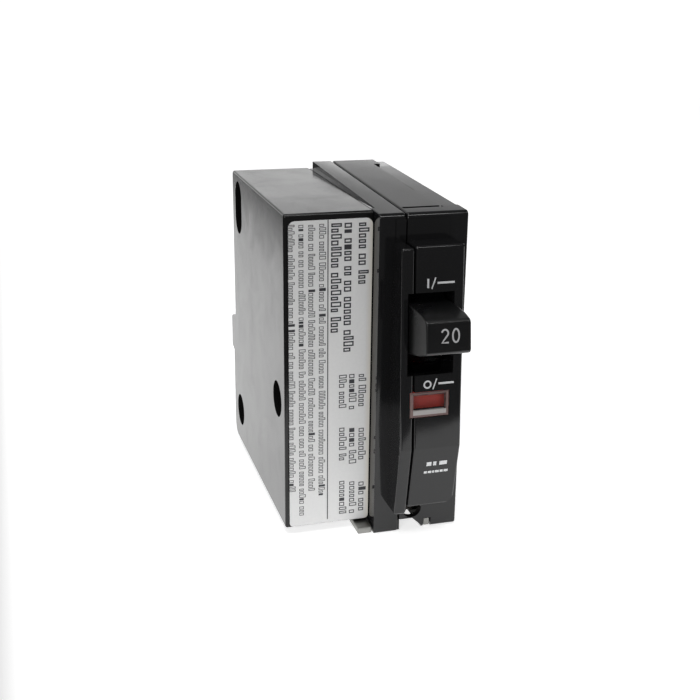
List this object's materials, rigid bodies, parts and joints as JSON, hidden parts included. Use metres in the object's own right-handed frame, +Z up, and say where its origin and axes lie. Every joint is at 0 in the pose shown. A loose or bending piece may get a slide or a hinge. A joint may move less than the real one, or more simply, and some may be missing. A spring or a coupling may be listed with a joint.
{
  "type": "single-pole circuit breaker with shunt-trip module",
  "caption": "Plug-on single-pole circuit breaker with toggle handle and trip-flag window, joined to a side shunt-trip module that can release it from a distance.",
  "frame": {"origin": "middle of the bounding box in X and Y, at the lowest point of the case", "axes": "+Z up along the case's height with the handle upright as pictured; the handle faces -Y; +X runs from the module towards the breaker"},
  "size_m": [0.0382, 0.0812, 0.0732],
  "materials": {
    "case": "satin black moulded thermoset",
    "handle": "satin black",
    "red": "red moulded",
    "clear": "clear moulded lens",
    "label": "printed light grey label",
    "steel": "plain steel",
    "zinc": "zinc-plated steel",
    "copper": "bare copper",
    "silver": "silver alloy contact",
    "brass": "brass",
    "bobbin": "natural nylon",
    "winding": "enamelled copper wire",
    "fibre": "vulcanised fibre"
  },
  "bodies": {
    "housing": {"arc_chamber": "fibre", "arc_plate_1": "steel", "arc_plate_2": "steel", "arc_plate_3": "steel", "arc_plate_4": "steel", "arm_pin": "steel", "bimetal": "zinc", "braid": "copper", "breaker_base": "case", "breaker_cover": "case", "calibration_screw": "brass", "case_rivet_1": "steel", "case_rivet_2": "steel", "case_rivet_3": "steel", "case_rivet_4": "steel", "coil_bobbin": "bobbin", "coil_winding": "winding", "crank_pin": "steel", "fixed_contact": "silver", "flag_window": "clear", "foot_strap": "zinc", "handle_pin": "steel", "jaw_spring_left": "steel", "jaw_spring_right": "steel", "line_jaw": "copper", "line_strap": "copper", "load_strap": "zinc", "lug_tongue": "zinc", "magnet_yoke": "steel", "module_case": "case", "module_cover": "case", "module_label": "label", "module_rivet_1": "steel", "module_rivet_2": "steel", "plunger_spring": "steel", "rail_hook": "steel", "solenoid_frame": "steel", "switch_body": "bobbin", "switch_tab_1": "brass", "switch_tab_2": "brass", "trip_lever_pin": "steel"},
    "handle": {"handle": "handle"},
    "contact_arm": {"contact_arm": "copper", "moving_contact": "silver", "toggle_spring": "steel"},
    "trip_flag": {"trip_flag": "red"},
    "trip_lever": {"trip_lever": "zinc"},
    "armature": {"armature": "steel"},
    "terminal_screw": {"terminal_screw": "zinc"},
    "clamp_plate": {"clamp_plate": "zinc"},
    "plunger": {"plunger": "steel"},
    "release_crank": {"release_crank": "zinc", "drive_pin": "steel"},
    "switch_button": {"switch_button": "red"}
  },
  "joints": [
    {"name": "handle_swing", "type": "hinge", "parent": "housing", "child": "handle", "pos_m": [0.00905, -0.0184, 0.0474], "axis": [-1, 0, 0], "range_deg": [-21, 9.5]},
    {"name": "contact_swing", "type": "hinge", "parent": "housing", "child": "contact_arm", "pos_m": [0.00945, -0.0054, 0.0474], "axis": [1, 0, 0], "range_deg": [-25.4, 11.6]},
    {"name": "flag_slide", "type": "slide", "parent": "housing", "child": "trip_flag", "axis": [0, 0, 1], "range_m": [-0.0066, 0]},
    {"name": "trip_lever_swing", "type": "hinge", "parent": "housing", "child": "trip_lever", "pos_m": [0.01025, 0.0006, 0.0318], "axis": [1, 0, 0], "range_deg": [0, 24]},
    {"name": "armature_swing", "type": "hinge", "parent": "housing", "child": "armature", "pos_m": [0.00995, 0.014, 0.0398], "axis": [1, 0, 0], "range_deg": [0, 3.2], "stiffness_Nm_per_rad": 0.002, "springref_deg": -3.44},
    {"name": "terminal_screw_turn", "type": "hinge", "parent": "housing", "child": "terminal_screw", "pos_m": [0.00855, -0.0194, 0.0052], "axis": [0, 1, 0], "range_deg": [0, 2160]},
    {"name": "clamp_slide", "type": "slide", "parent": "housing", "child": "clamp_plate", "axis": [0, 1, 0], "range_m": [0, 0.00485]},
    {"name": "plunger_slide", "type": "slide", "parent": "housing", "child": "plunger", "axis": [0, 0, 1], "range_m": [0, 0.0035], "stiffness_N_per_m": 100, "springref_m": -0.002, "deforming": ["plunger_spring"]},
    {"name": "release_swing", "type": "hinge", "parent": "housing", "child": "release_crank", "pos_m": [-0.00705, 0.0091, 0.0238], "axis": [-1, 0, 0], "range_deg": [0, 16.2]},
    {"name": "switch_slide", "type": "slide", "parent": "housing", "child": "switch_button", "axis": [0, 0, 1], "range_m": [-0.0025, 0]}
  ],
  "couplings": [
    {"joint": "contact_swing", "follows": "handle_swing", "ratio": 1.2},
    {"joint": "clamp_slide", "follows": "terminal_screw_turn", "m_per_rad": 0.00012637},
    {"joint": "release_swing", "follows": "plunger_slide", "rad_per_m": 80},
    {"joint": "switch_slide", "follows": "plunger_slide", "ratio": -0.704}
  ]
}
